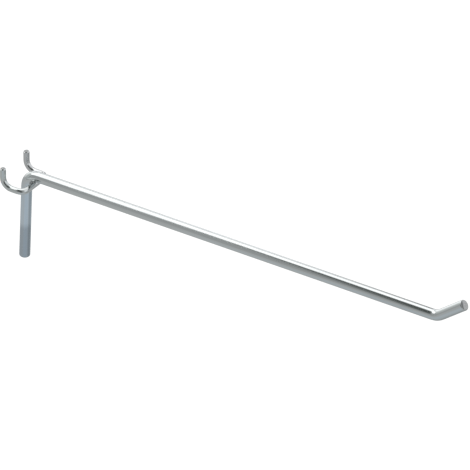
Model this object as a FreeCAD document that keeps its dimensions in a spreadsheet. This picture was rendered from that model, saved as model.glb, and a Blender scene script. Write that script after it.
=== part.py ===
import FreeCAD, Part
import math
import os

import Sketcher

# Pegboard hook: a heavy wire bent to a leg, a long arm and an upturned tip, and a thinner wire bent to a
# U that is welded into the bend under the arm. The ends of the U are the prongs that hook into the board.
#
# The origin lies on the board's front face, midway between the prongs and level with the wire that goes
# through the holes. The arm runs towards -Y, the prongs stand behind the board at +Y, and +Z is up.

# Driving dimensions, in millimetres and degrees
SIZES = [
    ("arm_wire_dia", 6.65, "heavy wire of the leg, the arm and the tip"),
    ("prong_wire_dia", 3.76, "thinner wire of the prongs"),
    ("prong_spacing", 25.4, "centre to centre of the prongs, as the holes of the board"),
    ("board_thickness", 3.2, "board that the prongs hook behind"),
    ("board_clearance", 0.12, "play between the board's back and the prongs"),
    ("leg_drop", 50.8, "from the middle of the prong wire down to the foot of the leg"),
    ("overall_reach", 304.8, "from the board's face to the far edge of the tip"),
    ("arm_bend_radius", 7.5, "leg to arm, at the middle of the wire"),
    ("elbow_radius", 8.0, "arm to tip, at the middle of the wire"),
    ("tip_straight", 19.3, "straight length of the tip beyond the elbow"),
    ("tip_angle", 37.5, "rise of the tip above the arm"),
    ("seat_angle", 45.0, "where the prong wire lies in the arm's bend, above level"),
    ("weld_sink", 0.42, "depth to which the weld lets the prong wire into the arm wire"),
    ("corner_radius", 4.0, "corners of the U, at the middle of the wire"),
    ("prong_bend_radius", 6.2, "upward bends of the prongs, at the middle of the wire"),
    ("prong_height", 12.0, "from the level wire up to the end of a prong"),
    ("prong_lean_angle", 2.0, "lean of the prongs away from the board"),
    ("foot_round", 1.5, "rounded edge at the foot of the leg"),
    ("tip_round", 0.6, "broken edge of the cut tip"),
    ("prong_chamfer", 0.6, "bevelled prong ends that find the holes"),
    ("bead_lip_along", 1.5, "how far the weld bead stands out of the groove along the prong wire"),
    ("bead_lip_across", 0.95, "how far the weld bead stands out of the groove across the prong wire"),
    ("bead_thickness", 2.0, "weld bead between the two wires, before they cut into it"),
]

# Places that follow from the sizes, as expressions on the sheet. A depth is measured from the board's
# face towards the room. The prong wire lies against the inside of the arm's bend, on a line through the
# bend's centre that rises at the seat angle, so its place there sets how far the bend's centre lies below.
# The groove that the weld leaves in the arm wire ends where the two wires' surfaces meet, and the weld
# bead is centred halfway between the groove's edges and its floor, all measured from the bend's centre.
ARM_WIRE_RADIUS = "(Sizes.arm_wire_dia / 2)"
PRONG_WIRE_RADIUS = "(Sizes.prong_wire_dia / 2)"
HALF_SPACING = "(Sizes.prong_spacing / 2)"
SEAT_ANGLE = "(Sizes.seat_angle * 1 deg)"
TIP_ANGLE = "(Sizes.tip_angle * 1 deg)"
PRONG_LEAN = "(Sizes.prong_lean_angle * 1 deg)"
SEAT_OFFSET = f"(Sizes.arm_bend_radius - {ARM_WIRE_RADIUS} - {PRONG_WIRE_RADIUS} + Sizes.weld_sink)"
BEND_CENTRE_DROP = f"({SEAT_OFFSET} * sin({SEAT_ANGLE}))"
BEND_CENTRE_DEPTH = f"({ARM_WIRE_RADIUS} + Sizes.arm_bend_radius)"
CROSSING_DEPTH = f"({BEND_CENTRE_DEPTH} - {SEAT_OFFSET} * cos({SEAT_ANGLE}))"
INNER_BEND_RADIUS = f"(Sizes.arm_bend_radius - {ARM_WIRE_RADIUS})"
GROOVE_EDGE = f"(({SEAT_OFFSET}^2 + {INNER_BEND_RADIUS}^2 - {PRONG_WIRE_RADIUS}^2) / (2 * {SEAT_OFFSET}))"
GROOVE_HALF_WIDTH = f"sqrt({INNER_BEND_RADIUS}^2 - {GROOVE_EDGE}^2)"
GROOVE_HALF_LENGTH = "sqrt(Sizes.weld_sink * (Sizes.arm_wire_dia - Sizes.weld_sink))"
WELD_MIDDLE = f"(({GROOVE_EDGE} + {INNER_BEND_RADIUS} + Sizes.weld_sink) / 2)"
WELD_DEPTH = f"({BEND_CENTRE_DEPTH} - {WELD_MIDDLE} * cos({SEAT_ANGLE}))"
WELD_HEIGHT = f"({WELD_MIDDLE} * sin({SEAT_ANGLE}) - {BEND_CENTRE_DROP})"
ARM_HEIGHT = f"(Sizes.arm_bend_radius - {BEND_CENTRE_DROP})"
TIP_END_DEPTH = f"(Sizes.overall_reach - {ARM_WIRE_RADIUS} * sin({TIP_ANGLE}))"
ELBOW_DEPTH = (
    f"({TIP_END_DEPTH} - Sizes.tip_straight * cos({TIP_ANGLE}) - Sizes.elbow_radius * sin({TIP_ANGLE}))"
)
TIP_END_HEIGHT = (
    f"({ARM_HEIGHT} + Sizes.elbow_radius * (1 - cos({TIP_ANGLE})) + Sizes.tip_straight * sin({TIP_ANGLE}))"
)
RUN_START_DEPTH = f"({CROSSING_DEPTH} - Sizes.corner_radius)"
PRONG_DEPTH = f"(Sizes.board_thickness + Sizes.board_clearance + {PRONG_WIRE_RADIUS})"
PRONG_END_DEPTH = f"({PRONG_DEPTH} + Sizes.prong_height * tan({PRONG_LEAN}))"
PRONG_BEND_START = f"({PRONG_DEPTH} - Sizes.prong_bend_radius * tan(45 deg - {PRONG_LEAN} / 2))"

# Ends and centre of a sketched line or arc, and the sketch's own axes: the first starts at its origin
START, END, CENTRE = range(1, 4)
VERTICAL_AXIS, HORIZONTAL_AXIS = range(-2, 0)
ORIGIN = HORIZONTAL_AXIS
SAME_PLACE = 0.01

doc = FreeCAD.newDocument("pegboard_hook")


def write_sheet():
    """The sheet of driving dimensions: name, value and note in each row."""
    sheet = doc.addObject("Spreadsheet::Sheet", "Sizes")
    for row, (alias, value, note) in enumerate(SIZES, start=1):
        sheet.set(f"A{row}", alias)
        sheet.set(f"B{row}", str(value))
        sheet.set(f"C{row}", note)
        sheet.setAlias(f"B{row}", alias)
    doc.recompute()


def number(expression):
    """The present value of an expression, in millimetres or radians."""
    found = FreeCAD.Units.Quantity(doc.Sizes.evalExpression(expression))
    return math.radians(found.Value) if found.Unit == FreeCAD.Units.Angle else found.Value


# Sketches on a body's own planes

def origin_plane(body, role):
    return next(plane for plane in body.Origin.OriginFeatures if plane.Role == role)


def new_sketch(body, name, role, offset=None):
    """A sketch on an origin plane of the body, moved along the plane's normal by an offset."""
    sketch = body.newObject("Sketcher::SketchObject", name)
    sketch.AttachmentSupport = [(origin_plane(body, role), "")]
    sketch.MapMode = "FlatFace"
    if offset:
        sketch.setExpression("AttachmentOffset.Base.z", offset)
    return sketch


def add_line(sketch, start, end):
    return sketch.addGeometry(Part.LineSegment(FreeCAD.Vector(*start), FreeCAD.Vector(*end)))


def add_arc(sketch, centre, radius, first_angle, last_angle):
    circle = Part.Circle(FreeCAD.Vector(*centre), FreeCAD.Vector(0, 0, 1), radius)
    return sketch.addGeometry(Part.ArcOfCircle(circle, first_angle, last_angle))


def tie(sketch, *what):
    sketch.addConstraint(Sketcher.Constraint(*what))


def measure(sketch, name, expression, *what):
    """A dimension of the sketch that follows an expression on the sheet."""
    index = sketch.addConstraint(Sketcher.Constraint(*what, number(expression)))
    sketch.renameConstraint(index, name)
    sketch.setExpression(f"Constraints.{name}", expression)


def wire_section(body, name, role, offset, radius, across=None, up=None):
    """The round section of a wire at the start of its path, on the axes unless a place is given."""
    sketch = new_sketch(body, name, role, offset)
    centre = (number(across) if across else 0, number(up) if up else 0)
    section = sketch.addGeometry(
        Part.Circle(FreeCAD.Vector(*centre), FreeCAD.Vector(0, 0, 1), number(radius))
    )
    measure(sketch, "radius", radius, "Radius", section)
    if across:
        measure(sketch, "across", across, "DistanceX", ORIGIN, START, section, CENTRE)
    else:
        tie(sketch, "PointOnObject", section, CENTRE, VERTICAL_AXIS)
    if up:
        measure(sketch, "up", up, "DistanceY", ORIGIN, START, section, CENTRE)
    else:
        tie(sketch, "PointOnObject", section, CENTRE, HORIZONTAL_AXIS)
    return sketch


def sweep(body, name, section, path):
    pipe = body.newObject("PartDesign::AdditivePipe", name)
    pipe.Profile = section
    pipe.Spine = (path, [""])
    doc.recompute()
    return pipe


def dress_ends(body, name, base, kind, property_name, amount, *places):
    """Rounds or bevels the edge of each cut wire end whose middle is at one of the places."""
    edges = [
        f"Edge{index}"
        for index, edge in enumerate(base.Shape.Edges, start=1)
        if any(edge.CenterOfMass.isEqual(place, SAME_PLACE) for place in places)
    ]
    dressing = body.newObject(kind, name)
    dressing.Base = (base, edges)
    dressing.setExpression(property_name, amount)
    doc.recompute()
    return dressing


def round_end(body, name, base, radius, place):
    return dress_ends(body, name, base, "PartDesign::Fillet", "Radius", radius, place)


def bevel_ends(body, name, base, depth, *places):
    return dress_ends(body, name, base, "PartDesign::Chamfer", "Size", depth, *places)


# The heavy wire, before the prong wire is let into it

def arm_path(body):
    """Middle of the heavy wire from the side: up the leg, round the bend, along the arm, up the tip."""
    path = new_sketch(body, "arm_path", "YZ_Plane")
    leg_y = -number(ARM_WIRE_RADIUS)
    bend_y, bend_z = -number(BEND_CENTRE_DEPTH), -number(BEND_CENTRE_DROP)
    arm_z = number(ARM_HEIGHT)
    elbow_y = -number(ELBOW_DEPTH)
    elbow_radius = number("Sizes.elbow_radius")
    rise = number(TIP_ANGLE)
    tip_y, tip_z = -number(TIP_END_DEPTH), number(TIP_END_HEIGHT)
    tip_foot = (
        elbow_y - elbow_radius * math.sin(rise),
        arm_z + elbow_radius * (1 - math.cos(rise)),
    )
    leg = add_line(path, (leg_y, -number("Sizes.leg_drop")), (leg_y, bend_z))
    bend = add_arc(path, (bend_y, bend_z), number("Sizes.arm_bend_radius"), 0, math.pi / 2)
    arm = add_line(path, (bend_y, arm_z), (elbow_y, arm_z))
    elbow = add_arc(
        path, (elbow_y, arm_z + elbow_radius), elbow_radius, -math.pi / 2 - rise, -math.pi / 2
    )
    tip = add_line(path, tip_foot, (tip_y, tip_z))
    tie(path, "Tangent", leg, END, bend, START)
    tie(path, "Tangent", bend, END, arm, START)
    tie(path, "Tangent", arm, END, elbow, END)
    tie(path, "Tangent", elbow, START, tip, START)
    tie(path, "Vertical", leg)
    tie(path, "Horizontal", arm)
    measure(path, "leg_depth", ARM_WIRE_RADIUS, "DistanceX", leg, START, ORIGIN, START)
    measure(path, "leg_drop", "Sizes.leg_drop", "DistanceY", leg, START, ORIGIN, START)
    measure(path, "bend_drop", BEND_CENTRE_DROP, "DistanceY", bend, CENTRE, ORIGIN, START)
    measure(path, "bend_radius", "Sizes.arm_bend_radius", "Radius", bend)
    measure(path, "elbow_radius", "Sizes.elbow_radius", "Radius", elbow)
    measure(path, "tip_heading", f"180 deg - {TIP_ANGLE}", "Angle", tip)
    measure(path, "tip_straight", "Sizes.tip_straight", "Distance", tip)
    measure(path, "tip_depth", TIP_END_DEPTH, "DistanceX", tip, END, ORIGIN, START)
    return path


def make_arm_wire_stock():
    body = doc.addObject("PartDesign::Body", "arm_wire_stock")
    section = wire_section(
        body, "arm_section", "XY_Plane", "-Sizes.leg_drop", ARM_WIRE_RADIUS, up=f"-{ARM_WIRE_RADIUS}"
    )
    wire = sweep(body, "bent_arm_wire", section, arm_path(body))
    foot = FreeCAD.Vector(0, -number(ARM_WIRE_RADIUS), -number("Sizes.leg_drop"))
    tip = FreeCAD.Vector(0, -number(TIP_END_DEPTH), number(TIP_END_HEIGHT))
    rounded = round_end(body, "rounded_foot", wire, "Sizes.foot_round", foot)
    round_end(body, "broken_tip_edge", rounded, "Sizes.tip_round", tip)
    return body


# The prong wire: half of the U from above, then one prong from the side, and both mirrored

def crossing_path(body):
    """Middle of the prong wire from above: out from the arm wire and round a corner of the U."""
    path = new_sketch(body, "crossing_path", "XY_Plane")
    half = number(HALF_SPACING)
    crossing_y = -number(CROSSING_DEPTH)
    radius = number("Sizes.corner_radius")
    crossing = add_line(path, (0, crossing_y), (half - radius, crossing_y))
    corner = add_arc(path, (half - radius, crossing_y + radius), radius, -math.pi / 2, 0)
    tie(path, "Tangent", crossing, END, corner, START)
    tie(path, "Horizontal", crossing)
    tie(path, "PointOnObject", crossing, START, VERTICAL_AXIS)
    measure(path, "crossing_depth", CROSSING_DEPTH, "DistanceY", crossing, START, ORIGIN, START)
    measure(path, "corner_radius", "Sizes.corner_radius", "Radius", corner)
    measure(path, "half_spacing", HALF_SPACING, "DistanceX", ORIGIN, START, corner, END)
    measure(path, "run_start", RUN_START_DEPTH, "DistanceY", corner, END, ORIGIN, START)
    return path


def prong_path(body):
    """Middle of the prong wire from the side: back through the board and up into the prong."""
    path = new_sketch(body, "prong_path", "YZ_Plane", HALF_SPACING)
    run_y = -number(RUN_START_DEPTH)
    bend_y = number(PRONG_BEND_START)
    radius = number("Sizes.prong_bend_radius")
    lean = number(PRONG_LEAN)
    top = (number(PRONG_END_DEPTH), number("Sizes.prong_height"))
    run = add_line(path, (run_y, 0), (bend_y, 0))
    bend = add_arc(path, (bend_y, radius), radius, -math.pi / 2, -lean)
    stem_foot = (bend_y + radius * math.cos(lean), radius * (1 - math.sin(lean)))
    prong = add_line(path, stem_foot, top)
    tie(path, "Tangent", run, END, bend, START)
    tie(path, "Tangent", bend, END, prong, START)
    tie(path, "Horizontal", run)
    tie(path, "PointOnObject", run, START, HORIZONTAL_AXIS)
    measure(path, "run_start", RUN_START_DEPTH, "DistanceX", run, START, ORIGIN, START)
    measure(path, "bend_radius", "Sizes.prong_bend_radius", "Radius", bend)
    measure(path, "heading", f"90 deg - {PRONG_LEAN}", "Angle", prong)
    measure(path, "end_height", "Sizes.prong_height", "DistanceY", ORIGIN, START, prong, END)
    measure(path, "end_depth", PRONG_END_DEPTH, "DistanceX", ORIGIN, START, prong, END)
    return path


def make_prong_wire():
    body = doc.addObject("PartDesign::Body", "prong_wire")
    crossing_section = wire_section(
        body, "crossing_section", "YZ_Plane", None, PRONG_WIRE_RADIUS, across=f"-{CROSSING_DEPTH}"
    )
    crossing = sweep(body, "crossing", crossing_section, crossing_path(body))
    run_section = wire_section(
        body, "run_section", "XZ_Plane", RUN_START_DEPTH, PRONG_WIRE_RADIUS, across=HALF_SPACING
    )
    prong = sweep(body, "prong", run_section, prong_path(body))
    both = body.newObject("PartDesign::Mirrored", "both_prongs")
    both.Originals = [crossing, prong]
    both.MirrorPlane = (origin_plane(body, "YZ_Plane"), [""])
    body.Tip = both
    doc.recompute()
    half, end_y, end_z = number(HALF_SPACING), number(PRONG_END_DEPTH), number("Sizes.prong_height")
    ends = [FreeCAD.Vector(side * half, end_y, end_z) for side in (-1, 1)]
    bevel_ends(body, "bevelled_prongs", both, "Sizes.prong_chamfer", *ends)
    return body


# The weld: the prong wire lies in a shallow groove of the arm wire, with a bead squeezed out round it

def cut(name, base, tool):
    result = doc.addObject("Part::Cut", name)
    result.Base = base
    result.Tool = tool
    doc.recompute()
    return result


def make_weld_bead(arm_wire_stock, prong_wire):
    """A flat lump centred on the groove, less the wires themselves, which leaves a collar round it."""
    lump = doc.addObject("Part::Ellipsoid", "weld_lump")
    lump.Angle1, lump.Angle2, lump.Angle3 = -90, 90, 360
    lump.setExpression("Radius1", f"{GROOVE_HALF_WIDTH} + Sizes.bead_lip_across")
    lump.setExpression("Radius2", f"{GROOVE_HALF_LENGTH} + Sizes.bead_lip_along")
    lump.setExpression("Radius3", "Sizes.bead_thickness / 2")
    lump.Placement.Rotation = FreeCAD.Rotation(FreeCAD.Vector(1, 0, 0), math.degrees(number(SEAT_ANGLE)))
    lump.setExpression("Placement.Rotation.Angle", SEAT_ANGLE)
    lump.setExpression("Placement.Base.y", f"-{WELD_DEPTH}")
    lump.setExpression("Placement.Base.z", WELD_HEIGHT)
    return cut("weld_bead", cut("weld_lump_beside_arm", lump, arm_wire_stock), prong_wire)


def make_hook():
    write_sheet()
    arm_wire_stock = make_arm_wire_stock()
    prong_wire = make_prong_wire()
    arm_wire = cut("arm_wire", arm_wire_stock, prong_wire)
    weld_bead = make_weld_bead(arm_wire_stock, prong_wire)
    return {"arm_wire": arm_wire, "prong_wire": prong_wire, "weld_bead": weld_bead}


def check_and_write(sub_parts):
    """Writes each sub-part, once the whole document has come out sound."""
    doc.recompute()
    for item in doc.Objects:
        if {"Invalid", "Error"} & set(item.State):
            raise RuntimeError(f"{item.Name} failed: {item.State}")
    for name, sub_part in sub_parts.items():
        sub_part.Label = name
        shape = sub_part.Shape
        if shape.isNull() or not shape.isValid() or len(shape.Solids) != 1:
            raise RuntimeError(f"{name} is not one sound solid")
    os.makedirs("parts", exist_ok=True)
    for name, sub_part in sub_parts.items():
        sub_part.Shape.exportStep(f"parts/{name}.step")
        box = sub_part.Shape.BoundBox
        print(f"{name}: {sub_part.Shape.Volume:.1f} mm3, x {box.XMin:.2f} to {box.XMax:.2f},"
              f" y {box.YMin:.2f} to {box.YMax:.2f}, z {box.ZMin:.2f} to {box.ZMax:.2f}")


check_and_write(make_hook())
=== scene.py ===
import math

import bmesh
import bpy
from mathutils import Matrix, Vector


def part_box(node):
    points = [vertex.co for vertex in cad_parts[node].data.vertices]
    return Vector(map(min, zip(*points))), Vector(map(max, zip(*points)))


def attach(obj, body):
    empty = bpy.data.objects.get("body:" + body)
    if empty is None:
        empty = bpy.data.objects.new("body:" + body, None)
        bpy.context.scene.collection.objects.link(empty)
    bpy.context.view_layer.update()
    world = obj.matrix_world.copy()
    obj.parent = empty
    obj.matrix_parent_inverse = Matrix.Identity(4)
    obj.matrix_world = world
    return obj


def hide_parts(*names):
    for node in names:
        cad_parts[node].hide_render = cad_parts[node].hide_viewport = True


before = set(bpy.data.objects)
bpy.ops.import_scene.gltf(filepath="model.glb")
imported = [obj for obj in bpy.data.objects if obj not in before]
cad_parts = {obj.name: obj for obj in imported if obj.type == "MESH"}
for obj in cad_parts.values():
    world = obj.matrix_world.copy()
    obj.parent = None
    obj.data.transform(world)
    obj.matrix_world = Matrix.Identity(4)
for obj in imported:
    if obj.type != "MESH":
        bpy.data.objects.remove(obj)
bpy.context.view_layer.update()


# The arm wire: one length of drawn steel wire, bent cold into a leg, a long arm and an upturned tip. Both
# ends are sheared and their edges broken, and the plating follows the fine lines that the drawing die left
# along the wire.
class Signal:
    """One output of a node. Python arithmetic on it adds the nodes that work the result out."""

    def __init__(self, socket):
        self.socket = socket
        self.tree = socket.id_data

    def other(self, output):
        return Signal(self.socket.node.outputs[output])

    def math(self, operation, *values):
        inputs = dict(enumerate((self, *values)))
        return node(self.tree, "ShaderNodeMath", {"operation": operation}, inputs)

    def vector(self, operation, *values):
        inputs = dict(enumerate((self, *values)))
        return node(self.tree, "ShaderNodeVectorMath", {"operation": operation}, inputs)

    def length(self):
        return self.vector("LENGTH").other("Value")

    def stretched(self, factor):
        inputs = {"Vector": self, "Scale": factor}
        return node(self.tree, "ShaderNodeVectorMath", {"operation": "SCALE"}, inputs)

    def clamped(self):
        return node(self.tree, "ShaderNodeClamp", {}, {"Value": self})

    def __add__(self, value):
        return self.math("ADD", value)

    def __radd__(self, value):
        return self.math("ADD", value)

    def __sub__(self, value):
        return self.math("SUBTRACT", value)

    def __rsub__(self, value):
        return node(self.tree, "ShaderNodeMath", {"operation": "SUBTRACT"}, {0: value, 1: self})

    def __mul__(self, value):
        return self.math("MULTIPLY", value)

    def __rmul__(self, value):
        return self.math("MULTIPLY", value)

    def __truediv__(self, value):
        return self.math("DIVIDE", value)

    def __rtruediv__(self, value):
        return node(self.tree, "ShaderNodeMath", {"operation": "DIVIDE"}, {0: value, 1: self})


def node(tree, kind, settings, inputs):
    made = tree.nodes.new(kind)
    for name, value in settings.items():
        setattr(made, name, value)
    for key, value in inputs.items():
        if isinstance(value, Signal):
            tree.links.new(value.socket, made.inputs[key])
        else:
            made.inputs[key].default_value = value
    return Signal(next(socket for socket in made.outputs if socket.enabled))


def blended(tree, factor, first, second):
    """The first colour where the factor is 0, the second where it is 1."""
    inputs = {"Factor_Float": factor, "A_Color": first, "B_Color": second}
    made = tree.nodes.new("ShaderNodeMix")
    made.data_type = "RGBA"
    for socket in made.inputs:
        value = inputs.get(socket.identifier)
        if isinstance(value, Signal):
            tree.links.new(value.socket, socket)
        elif value is not None:
            socket.default_value = value
    return Signal(next(socket for socket in made.outputs if socket.enabled))


def tinted(colour, tint):
    return colour.vector("MULTIPLY", tint)


def empty_material(name):
    """A new material, and its tree with no nodes in it."""
    material = bpy.data.materials.new(name)
    material.use_nodes = True
    material.node_tree.nodes.clear()
    return material, material.node_tree


def shade_surface(tree, shader):
    """Makes the shader what the material shows."""
    result = tree.nodes.new("ShaderNodeOutputMaterial")
    tree.links.new(shader.socket, result.inputs["Surface"])


def bent_wire_tree():
    """Lays a round wire along a path, closed by flat ends with rounded or bevelled edges."""
    tree = bpy.data.node_groups.new("bent wire", "GeometryNodeTree")
    sizes = {
        "Wire radius": "Float",
        "First edge": "Float",
        "Last edge": "Float",
        "Edge roundness": "Float",
        "Rings": "Int",
        "Sides": "Int",
        "Face rings": "Int",
        "Edge rings": "Int",
        "Easing": "Float",
        "Seat radius": "Float",
        "Seat centre": "Vector",
        "Finish": "Material",
    }
    tree.interface.new_socket("Path", in_out="INPUT", socket_type="NodeSocketGeometry")
    for name, kind in sizes.items():
        tree.interface.new_socket(name, in_out="INPUT", socket_type="NodeSocket" + kind)
    tree.interface.new_socket("Wire", in_out="OUTPUT", socket_type="NodeSocketGeometry")
    given = tree.nodes.new("NodeGroupInput")
    path, *numbers, seat, finish = (Signal(socket) for socket in given.outputs[:-1])
    radius, first_edge, last_edge, roundness, rings, sides, *numbers = numbers
    face_rings, edge_rings, easing, seat_radius = numbers

    grid = node(tree, "GeometryNodeMeshGrid", {}, {"Vertices X": rings, "Vertices Y": sides + 1})
    place = node(tree, "ShaderNodeSeparateXYZ", {}, {0: grid.other("UV Map")})
    ring = (place * (rings - 1)).math("ROUND")
    ring_from_last = (rings - 1) - ring
    turn = place.other("Y") * math.tau

    def end_profile(ring_count, edge):
        """The share of an end's face and of its edge behind a ring, and the edge's depth and inset there."""
        face = (ring_count / face_rings).clamped()
        share = ((ring_count - face_rings) / edge_rings).clamped()
        quarter = share * (math.pi / 2)
        depth = edge * (share + roundness * ((1 - quarter.math("COSINE")) - share))
        inset = edge * (1 - (share + roundness * (quarter.math("SINE") - share)))
        return face, share, depth, inset

    first_face, first_share, first_depth, first_inset = end_profile(ring, first_edge)
    last_face, last_share, last_depth, last_inset = end_profile(ring_from_last, last_edge)
    end_rings = face_rings + edge_rings
    middle = ((ring - end_rings) / (rings - 1 - end_rings * 2)).clamped()
    path_length = node(tree, "GeometryNodeCurveLength", {}, {0: path})
    along = first_depth + middle * (path_length - first_edge - last_edge) + (last_edge - last_depth)
    reach = (radius - first_inset - last_inset) * first_face * last_face

    # The centre line is the mean of five places along the path, so that each bend starts and ends softly.
    easing = easing.math("MINIMUM", along).math("MINIMUM", path_length - along)
    samples = [
        node(
            tree,
            "GeometryNodeSampleCurve",
            {"mode": "LENGTH"},
            {"Curves": path, "Length": along + easing * share},
        )
        for share in (-1.0, -0.5, 0.0, 0.5, 1.0)
    ]
    centre, tangent, normal = (samples[0].other(output) for output in ("Position", "Tangent", "Normal"))
    for sample in samples[1:]:
        centre = centre.vector("ADD", sample.other("Position"))
        tangent = tangent.vector("ADD", sample.other("Tangent"))
        normal = normal.vector("ADD", sample.other("Normal"))
    centre = centre.stretched(1 / len(samples))
    normal = normal.vector("NORMALIZE")
    across = tangent.vector("NORMALIZE").vector("CROSS_PRODUCT", normal)
    sideways = reach * turn.math("COSINE")
    upward = reach * turn.math("SINE")
    spoke = normal.stretched(sideways).vector("ADD", across.stretched(upward))
    point = centre.vector("ADD", spoke)

    # The crossing wire is pressed into the bend, so the surface there follows the crossing wire's own.
    offset = point.vector("SUBTRACT", seat).vector("MULTIPLY", (0.0, 1.0, 1.0))
    push = (seat_radius / offset.length()).math("MAXIMUM", 1.0) - 1.0
    seated = point.vector("ADD", offset.stretched(push))

    coordinate = node(tree, "ShaderNodeCombineXYZ", {}, {0: sideways, 1: upward, 2: along})
    cut = 1 - first_share * last_share
    mesh = node(tree, "GeometryNodeSetPosition", {}, {"Geometry": grid, "Position": seated})
    for name, kind, value in (("wire_place", "FLOAT_VECTOR", coordinate), ("cut_end", "FLOAT", cut)):
        mesh = node(
            tree,
            "GeometryNodeStoreNamedAttribute",
            {"data_type": kind, "domain": "POINT"},
            {"Geometry": mesh, "Name": name, "Value": value},
        )
    seam_gap = 1e-6
    crease_angle = math.radians(25)
    mesh = node(tree, "GeometryNodeMergeByDistance", {}, {"Geometry": mesh, "Distance": seam_gap})
    mesh = node(
        tree,
        "GeometryNodeSetShadeSmooth",
        {"domain": "FACE"},
        {"Geometry": mesh, "Shade Smooth": True},
    )
    crease = node(tree, "GeometryNodeInputMeshEdgeAngle", {}, {}).math("GREATER_THAN", crease_angle)
    mesh = node(
        tree,
        "GeometryNodeSetShadeSmooth",
        {"domain": "EDGE"},
        {"Geometry": mesh, "Selection": crease, "Shade Smooth": False},
    )
    mesh = node(tree, "GeometryNodeRealizeInstances", {}, {"Geometry": mesh})
    mesh = node(tree, "GeometryNodeSetMaterial", {}, {"Geometry": mesh, "Material": finish})
    tree.links.new(mesh.socket, tree.nodes.new("NodeGroupOutput").inputs[0])
    return tree


def bent_path(name, corners):
    """A path of straight runs joined by arcs, through corners given as (point, bend radius)."""
    curve = bpy.data.curves.new(name, "CURVE")
    curve.dimensions = "3D"
    curve.resolution_u = 48
    points = [(Vector(corners[0][0]), None, None)]
    for before, (corner, radius), after in zip(corners, corners[1:], corners[2:]):
        corner = Vector(corner)
        inward = (corner - Vector(before[0])).normalized()
        outward = (Vector(after[0]) - corner).normalized()
        turned = inward.angle(outward)
        cut_back = radius * math.tan(turned / 2)
        handle = radius * 4 / 3 * math.tan(turned / 4)
        start = corner - inward * cut_back
        finish = corner + outward * cut_back
        points.append((start, None, start + inward * handle))
        points.append((finish, finish - outward * handle, None))
    points.append((Vector(corners[-1][0]), None, None))
    spline = curve.splines.new("BEZIER")
    spline.bezier_points.add(len(points) - 1)
    for knot, (place, left, right) in zip(spline.bezier_points, points):
        knot.handle_left_type = knot.handle_right_type = "FREE"
        knot.co = place
        knot.handle_left = left or place
        knot.handle_right = right or place
    for before, after in zip(spline.bezier_points, spline.bezier_points[1:]):
        third = (after.co - before.co) / 3
        if before.handle_right == before.co:
            before.handle_right = before.co + third
        if after.handle_left == after.co:
            after.handle_left = after.co - third
    return curve


def placed(name, data):
    """A new object with that data, in the scene."""
    made = bpy.data.objects.new(name, data)
    bpy.context.scene.collection.objects.link(made)
    return made


def made_wire(name, path, tree, sizes):
    """The tree's result on that path, as a plain mesh object at the origin."""
    source = placed(name + "_path", path)
    step = source.modifiers.new("wire", "NODES")
    step.node_group = tree
    for socket in tree.interface.items_tree:
        if socket.in_out == "INPUT" and socket.name in sizes:
            step[socket.identifier] = sizes[socket.name]
    source.update_tag()
    evaluated = source.evaluated_get(bpy.context.evaluated_depsgraph_get())
    mesh = bpy.data.meshes.new_from_object(evaluated)
    mesh.name = name
    bpy.data.objects.remove(source)
    return placed(name, mesh)


MM = 0.001


def between(value, low, high):
    """0 below low and 1 above high, with a smooth step between them."""
    return node(
        value.tree,
        "ShaderNodeMapRange",
        {"interpolation_type": "SMOOTHSTEP"},
        {"Value": value, "From Min": low, "From Max": high},
    )


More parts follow.
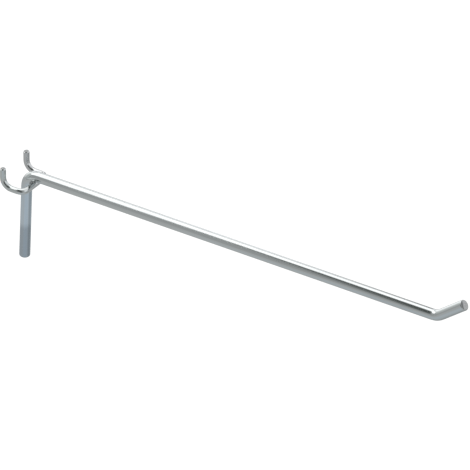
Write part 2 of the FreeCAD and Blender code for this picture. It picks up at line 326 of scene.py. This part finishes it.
def bright_plating(
    name,
    near_colour,
    far_colour,
    colour_change,
    darkened_length,
    wire_radius,
    end_colour,
    dark_side_colour,
    shear_depth,
):
    """Bright plating on drawn wire: streaks and die lines run along it, and its sheared ends are duller."""
    material, tree = empty_material(name)
    place = node(tree, "ShaderNodeAttribute", {"attribute_name": "wire_place"}, {}).other("Vector")
    cut = node(tree, "ShaderNodeAttribute", {"attribute_name": "cut_end"}, {}).other("Fac")
    sideways = node(tree, "ShaderNodeSeparateXYZ", {}, {0: place})
    upward = sideways.other("Y")
    along = sideways.other("Z")

    def noise(scale, along_share, detail):
        """Noise in the wire's own place. A small share draws it out along the wire."""
        stretch = node(tree, "ShaderNodeMapping", {}, {"Vector": place, "Scale": (1.0, 1.0, along_share)})
        return node(tree, "ShaderNodeTexNoise", {}, {"Vector": stretch, "Scale": scale, "Detail": detail})

    die_lines = noise(scale=5000.0, along_share=0.01, detail=3.0)
    streaks = noise(scale=700.0, along_share=0.02, detail=3.0)
    grain = noise(scale=2500.0, along_share=1.0, detail=4.0)
    clouds = noise(scale=70.0, along_share=0.5, detail=3.0)
    waviness = noise(scale=45.0, along_share=1.0, detail=1.0)
    nicks = between(noise(scale=420.0, along_share=0.3, detail=1.0), low=0.74, high=0.80)
    # Towards the foot, the wire's colour is darker and its finish rougher, up to an edge that wanders along
    # it.
    darkening_strength = 0.9
    darkening_wander = 4 * MM
    darkening_end = between(along + clouds * darkening_wander, low=darkened_length - 2 * MM, high=darkened_length + 4 * MM)
    darkening = (1 - darkening_end) * darkening_strength

    untinted = (1, 1, 1, 1)
    darkening_tint = (0.70, 0.705, 0.715, 1)
    dark_streak, light_streak = (0.84, 0.84, 0.84, 1), (1.06, 1.06, 1.06, 1)
    cool_cloud, warm_cloud = (0.94, 0.95, 0.96, 1), (1.0, 1.0, 0.99, 1)
    colour = blended(tree, between(along, *colour_change), near_colour, far_colour)
    colour = tinted(colour, blended(tree, streaks, dark_streak, light_streak))
    colour = tinted(colour, blended(tree, clouds, cool_cloud, warm_cloud))
    colour = tinted(colour, blended(tree, darkening, untinted, darkening_tint))

    # One side of each sheared end face is coloured darker than the rest of the face.
    side_share, up_share = -0.9, 0.44
    toward_dark_side = (sideways * side_share + upward * up_share) / wire_radius
    dark_side = between(toward_dark_side, low=0.25, high=0.55)
    face = blended(tree, dark_side, end_colour, dark_side_colour)
    colour = blended(tree, between(cut, low=0.3, high=0.95), colour, face)

    polish = 0.07
    roughness = polish + streaks * 0.05 + grain * 0.03 + clouds * 0.03
    roughness = roughness + darkening * 0.12 + nicks * 0.2 + cut * 0.3

    shear_turn = 0.6
    shear_stretch = (1.0, 0.08, 1.0)
    shear = node(
        tree,
        "ShaderNodeMapping",
        {},
        {"Vector": place, "Rotation": (0, 0, shear_turn), "Scale": shear_stretch},
    )
    shear_lines = node(tree, "ShaderNodeTexNoise", {}, {"Vector": shear, "Scale": 6000.0, "Detail": 2.0})
    relief_unit = 0.0025 * MM
    relief = die_lines * 0.9 + streaks * 2.0 + grain * 0.4 + waviness * 5.0 - nicks * 3.0
    end_relief = (shear_lines * 14.0 + grain * 6.0) * shear_depth
    bump = node(
        tree,
        "ShaderNodeBump",
        {},
        {"Strength": 1.0, "Distance": relief_unit, "Height": relief + cut * end_relief},
    )
    shader = node(
        tree,
        "ShaderNodeBsdfPrincipled",
        {},
        {"Base Color": colour, "Metallic": 1.0, "Roughness": roughness, "Normal": bump},
    )
    shade_surface(tree, shader)
    return material


wire_tree = bent_wire_tree()
arm_plating = bright_plating(
    "bright_plating_arm",
    near_colour=(0.725, 0.805, 0.87, 1),
    far_colour=(0.735, 0.76, 0.762, 1),
    colour_change=(40 * MM, 56 * MM),
    darkened_length=23 * MM,
    wire_radius=3.3 * MM,
    end_colour=(0.50, 0.51, 0.51, 1),
    dark_side_colour=(0.20, 0.21, 0.21, 1),
    shear_depth=1.0,
)
arm_low, arm_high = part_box("arm_wire")
prong_low, prong_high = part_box("prong_wire")
arm_radius = arm_high.x
prong_radius = 1.88 * MM
leg_depth = -arm_radius
arm_height = 5.58 * MM
arm_bend = 7.5 * MM
elbow_bend = 8.0 * MM
tip_angle = math.radians(37.5)
overall_reach = 304.8 * MM
tip_straight = 19.3 * MM
tip_depth = arm_radius * math.sin(tip_angle) - overall_reach
tip_run = Vector((0, -math.cos(tip_angle), math.sin(tip_angle)))
elbow_to_tip = tip_straight + elbow_bend * math.tan(tip_angle / 2)
elbow = Vector((0, tip_depth - tip_run.y * elbow_to_tip, arm_height))
tip_end = elbow + tip_run * elbow_to_tip
arm_path = bent_path(
    "arm_path",
    [
        ((0, leg_depth, arm_low.z), 0),
        ((0, leg_depth, arm_height), arm_bend),
        (elbow, elbow_bend),
        (tip_end, 0),
    ],
)
crossing_depth = prong_low.y + prong_radius
crossing = Vector((0, crossing_depth, 0))
arm = made_wire(
    "arm_wire_plated",
    arm_path,
    wire_tree,
    {
        "Wire radius": arm_radius,
        "First edge": 1.5 * MM,
        "Last edge": 0.6 * MM,
        "Edge roundness": 1.0,
        "Rings": 700,
        "Sides": 64,
        "Face rings": 4,
        "Edge rings": 10,
        "Easing": 1.6 * MM,
        "Seat radius": prong_radius,
        "Seat centre": crossing,
        "Finish": arm_plating,
    },
)
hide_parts("arm_wire")
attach(arm, "root")


# The prong wire: a thinner wire of the same kind, bent to a U whose two ends go through the board and turn
# up. Its middle crosses the leg under the arm, where it is welded on.
half_spacing = prong_high.x - prong_radius
no_darkened_length = -1.0
prong_plating = bright_plating(
    "bright_plating_prongs",
    near_colour=(0.71, 0.745, 0.74, 1),
    far_colour=(0.73, 0.735, 0.74, 1),
    colour_change=(0.0, 60 * MM),
    darkened_length=no_darkened_length,
    wire_radius=prong_radius,
    end_colour=(0.43, 0.44, 0.44, 1),
    dark_side_colour=(0.38, 0.39, 0.39, 1),
    shear_depth=0.2,
)
prong_lean = math.radians(2)
prong_height = 12.0 * MM
stem_foot_depth = 5.2 * MM
prong_bend = 6.2 * MM
corner_bend = 4.0 * MM
stem_top_depth = stem_foot_depth + prong_height * math.tan(prong_lean)
half_path = [
    ((-half_spacing, stem_top_depth, prong_height), 0),
    ((-half_spacing, stem_foot_depth, 0), prong_bend),
    ((-half_spacing, crossing_depth, 0), corner_bend),
]
mirrored = [((-x, y, z), bend) for (x, y, z), bend in reversed(half_path)]
prongs = made_wire(
    "prong_wire_plated",
    bent_path("prong_path", half_path + mirrored),
    wire_tree,
    {
        "Wire radius": prong_radius,
        "First edge": 0.6 * MM,
        "Last edge": 0.6 * MM,
        "Edge roundness": 0.0,
        "Rings": 360,
        "Sides": 48,
        "Face rings": 4,
        "Edge rings": 3,
        "Easing": 1.0 * MM,
        "Finish": prong_plating,
    },
)
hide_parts("prong_wire")
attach(prongs, "root")


# The weld bead: steel that the resistance weld squeezed out round the crossing, plated over with the wires.
# It is the solid's own mesh, with a rippled and slightly sooty finish.
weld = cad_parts["weld_bead"]
weld_finish, tree = empty_material("plated_weld")
weld_place = node(tree, "ShaderNodeTexCoord", {}, {}).other("Object")
ripples = node(
    tree,
    "ShaderNodeTexNoise",
    {},
    {"Vector": weld_place, "Scale": 900.0, "Detail": 3.0, "Roughness": 0.6},
)
specks = node(tree, "ShaderNodeTexVoronoi", {}, {"Vector": weld_place, "Scale": 2600.0})
soot = between(ripples, low=0.45, high=0.7)
clean_weld, sooty_weld = (0.56, 0.57, 0.575, 1), (0.36, 0.355, 0.35, 1)
ripple_depth = 0.06 * MM
weld_bump = node(
    tree,
    "ShaderNodeBump",
    {},
    {"Strength": 1.0, "Distance": ripple_depth, "Height": ripples + specks * 0.3},
)
weld_shader = node(
    tree,
    "ShaderNodeBsdfPrincipled",
    {},
    {
        "Base Color": blended(tree, soot, clean_weld, sooty_weld),
        "Metallic": 1.0,
        "Roughness": 0.28 + soot * 0.2,
        "Normal": weld_bump,
    },
)
shade_surface(tree, weld_shader)
weld.data.materials.clear()
weld.data.materials.append(weld_finish)


# The studio: a pale floor under a white sky, with the floor well below the hook. In use the hook hangs on a
# board, so it stands on nothing here.
floor_drop = 0.30
floor_reach = 6.0
floor_mesh = bpy.data.meshes.new("floor")
floor_mesh.from_pydata(
    [(x * floor_reach, y * floor_reach, -floor_drop) for x, y in ((-1, -1), (1, -1), (1, 1), (-1, 1))],
    [],
    [(0, 1, 2, 3)],
)
floor = placed("floor", floor_mesh)


def seen_directly(tree):
    """1 for what the camera sees straight, mirrored or through glass, and 0 for the light on the object."""
    rays = node(tree, "ShaderNodeLightPath", {}, {})
    glossy = rays.other("Is Glossy Ray")
    through = rays.other("Is Transmission Ray")
    return rays.math("MAXIMUM", glossy).math("MAXIMUM", through)


floor_grey = (0.5, 0.5, 0.5, 1)
floor_whitening = 0.58
floor_paint, tree = empty_material("floor_paint")
paint = node(tree, "ShaderNodeBsdfDiffuse", {}, {"Color": floor_grey})
glow = node(tree, "ShaderNodeEmission", {}, {"Strength": seen_directly(tree) * floor_whitening})
shade_surface(tree, node(tree, "ShaderNodeAddShader", {}, {0: paint, 1: glow}))
floor_mesh.materials.append(floor_paint)

sky_light = 0.45
world = bpy.data.worlds.new("studio")
bpy.context.scene.world = world
world.use_nodes = True
tree = world.node_tree
tree.nodes.clear()
strength = sky_light + seen_directly(tree) * (1 - sky_light)
sky = node(tree, "ShaderNodeBackground", {}, {"Color": (1, 1, 1, 1), "Strength": strength})
tree.links.new(sky.socket, tree.nodes.new("ShaderNodeOutputWorld").inputs["Surface"])


# The room that the metal mirrors: grey walls and floor, a long softbox on the ceiling, a window and
# reflectors to the right and in front, and a dark doorway and curtain to the left. Only reflections see it,
# and it gives no light: that comes from the area lamp at the softbox and from the sky.
room_low = Vector((-0.9, -1.6, -0.25))
room_high = Vector((1.6, 1.6, 1.0))
room_mesh = bpy.data.meshes.new("studio_room")
shell = bmesh.new()
bmesh.ops.create_cube(shell, size=1.0)
for corner in shell.verts:
    ranges = zip(corner.co, room_low, room_high)
    corner.co = [low + (side + 0.5) * (high - low) for side, low, high in ranges]
shell.to_mesh(room_mesh)
shell.free()
room = placed("studio_room", room_mesh)
room.visible_camera = False
room.visible_diffuse = False
room.visible_shadow = False
room.visible_transmission = False

room_paint, tree = empty_material("room_paint")
room_paint.cycles.emission_sampling = "NONE"
spot = node(tree, "ShaderNodeTexCoord", {}, {}).other("Object")
spot_x = node(tree, "ShaderNodeSeparateXYZ", {}, {0: spot})
spot_y = spot_x.other("Y")
spot_z = spot_x.other("Z")


def soft_band(value, start, full, fade, gone):
    """1 from full to fade, with soft edges that reach 0 at start and gone."""
    return between(value, start, full) * (1 - between(value, fade, gone))


def soft_disc(centre_x, centre_y, inner, outer):
    """1 within the inner radius round that place, as seen from above, and 0 past the outer radius."""
    across = spot_x - centre_x
    deep = spot_y - centre_y
    return 1 - between(across * across + deep * deep, inner**2, outer**2)


# Each patch of the room is a mask, with its limits in metres from the hook.
above_floor = between(spot_z, low=-0.24, high=0.0)
on_floor = 1 - between(spot_z, low=-0.24, high=-0.2)
on_ceiling = between(spot_z, low=0.98, high=0.99)

softbox_corner = 0.22
softbox_slant = 1.9
softbox_left = spot_x + (spot_y - softbox_corner).math("MAXIMUM", 0.0) * softbox_slant
softbox_right = spot_x * 0.8 + spot_y * 0.6
softbox_face = between(softbox_left, low=-0.14, high=0.02) * on_ceiling
softbox_face = softbox_face * (1 - between(softbox_right, low=0.92, high=1.06))
softbox_dimmed, softbox_white = (0.90, 0.91, 0.93, 1), (1.55, 1.55, 1.55, 1)
softbox_colour = blended(tree, between(spot_y, low=-0.12, high=0.15), softbox_dimmed, softbox_white)
top_panel = soft_disc(1.45, 0.90, inner=0.2, outer=0.3464) * between(spot_z, low=0.80, high=0.92)

left_wall = (1 - between(spot_x, low=-0.3, high=0.0)) * above_floor
slanted_depth = spot_y - spot_z * 0.3
doorway = soft_band(slanted_depth, start=-0.9, full=-0.3, fade=0.02, gone=0.20)
doorway = doorway * between(spot_z, low=0.05, high=0.55) * (1 - between(spot_x, low=-0.45, high=-0.15))
curtain = soft_band(spot_y, start=-1.2, full=-0.85, fade=-0.45, gone=-0.15)
curtain = curtain * soft_band(spot_z, start=-0.15, full=0.05, fade=0.88, gone=0.99)
curtain = curtain * (1 - between(spot_x, low=-0.7, high=-0.5))

right_wall = between(spot_x, low=1.3, high=1.59)
window = between(spot_y, low=0.54, high=0.62) * (1 - between(spot_y, low=0.69, high=0.73) * 0.5)
reflector = soft_band(spot_y, start=-1.45, full=-1.15, fade=0.22, gone=0.36)
reflector = reflector * between(spot_z, low=-0.2, high=0.1)
right_lit = right_wall * window.math("MAXIMUM", reflector)
pillar = right_wall * soft_band(spot_y, start=0.30, full=0.40, fade=0.50, gone=0.56)

back_wall = between(spot_y, low=1.2, high=1.58) * above_floor
back_dark, back_bright = (0.52, 0.54, 0.53, 1), (1.45, 1.46, 1.46, 1)
back_colour = blended(tree, between(spot_x, low=-0.7, high=1.4), back_dark, back_bright)
front_card = soft_band(spot_x, start=-0.6, full=-0.3, fade=1.1, gone=1.4)
front_card = front_card * (1 - between(spot_y, low=-1.2, high=-1.0)) * between(spot_z, low=0.1, high=0.35)
# A painted shadow on the room's floor, behind and to the right of the hook.
dim_floor = soft_band(spot_x, start=-0.15, full=0.1, fade=0.45, gone=0.7)
dim_floor = dim_floor * (1 - between(spot_y, low=-0.3, high=-0.1)) * on_floor
blue_floor = soft_disc(-0.30, -0.22, inner=0.1414, outer=0.3464) * on_floor

wall = (0.49, 0.50, 0.50, 1)
room_layers = [
    (left_wall, (0.40, 0.41, 0.41, 1)),
    (dim_floor, (0.35, 0.37, 0.38, 1)),
    (blue_floor, (0.50, 0.54, 0.57, 1)),
    (back_wall, back_colour),
    (pillar, (0.30, 0.31, 0.31, 1)),
    (right_lit, (1.05, 1.05, 1.08, 1)),
    (front_card, (0.96, 0.98, 1.00, 1)),
    (curtain, (0.03, 0.03, 0.03, 1)),
    (doorway, (0.06, 0.07, 0.065, 1)),
    (softbox_face.math("MAXIMUM", top_panel), softbox_colour),
]
for mask, colour in room_layers:
    wall = blended(tree, mask, wall, colour)
shade_surface(tree, node(tree, "ShaderNodeEmission", {}, {"Color": wall, "Strength": 1.0}))
room_mesh.materials.append(room_paint)

softbox_light = bpy.data.lights.new("softbox_overhead", "AREA")
softbox_light.shape = "RECTANGLE"
softbox_light.size = 2.2
softbox_light.size_y = 1.5
softbox_brightness = 1.6
softbox_light.energy = softbox_brightness * math.pi * softbox_light.size * softbox_light.size_y
softbox = placed("softbox_overhead", softbox_light)
softbox.location = (0.45, 0.30, room_high.z)
softbox.visible_camera = False
softbox.visible_glossy = False


# The camera: a long lens from the left, in front and above, as the photograph was taken. Its aim is shifted
# a little, so that the hook lies in the frame where it does in the photograph.
azimuth = math.radians(-59.213)
elevation = math.radians(30.327)
roll = math.radians(2.402)
camera_distance = 5.941
focal_pixels = 10203.3
image_pixels = 470
aim_point = Vector((0, -0.15, 0))
shift_right = -1.826 * MM
shift_up = 11.632 * MM
right = Vector((math.cos(azimuth), math.sin(azimuth), 0))
level = Vector((math.sin(azimuth), -math.cos(azimuth), 0))
back = level * math.cos(elevation) + Vector((0, 0, math.sin(elevation)))
up = back.cross(right)
camera_right = right * math.cos(roll) + up * math.sin(roll)
camera_up = up * math.cos(roll) - right * math.sin(roll)
camera_place = aim_point + back * camera_distance + camera_right * shift_right + camera_up * shift_up
lens = bpy.data.cameras.new("camera")
lens.lens = focal_pixels * lens.sensor_width / image_pixels
lens.clip_end = 100
camera = placed("camera", lens)
axes = Matrix((camera_right, camera_up, back)).transposed().to_4x4()
camera.matrix_world = Matrix.Translation(camera_place) @ axes
bpy.context.scene.camera = camera
bpy.context.scene.view_settings.view_transform = "Standard"
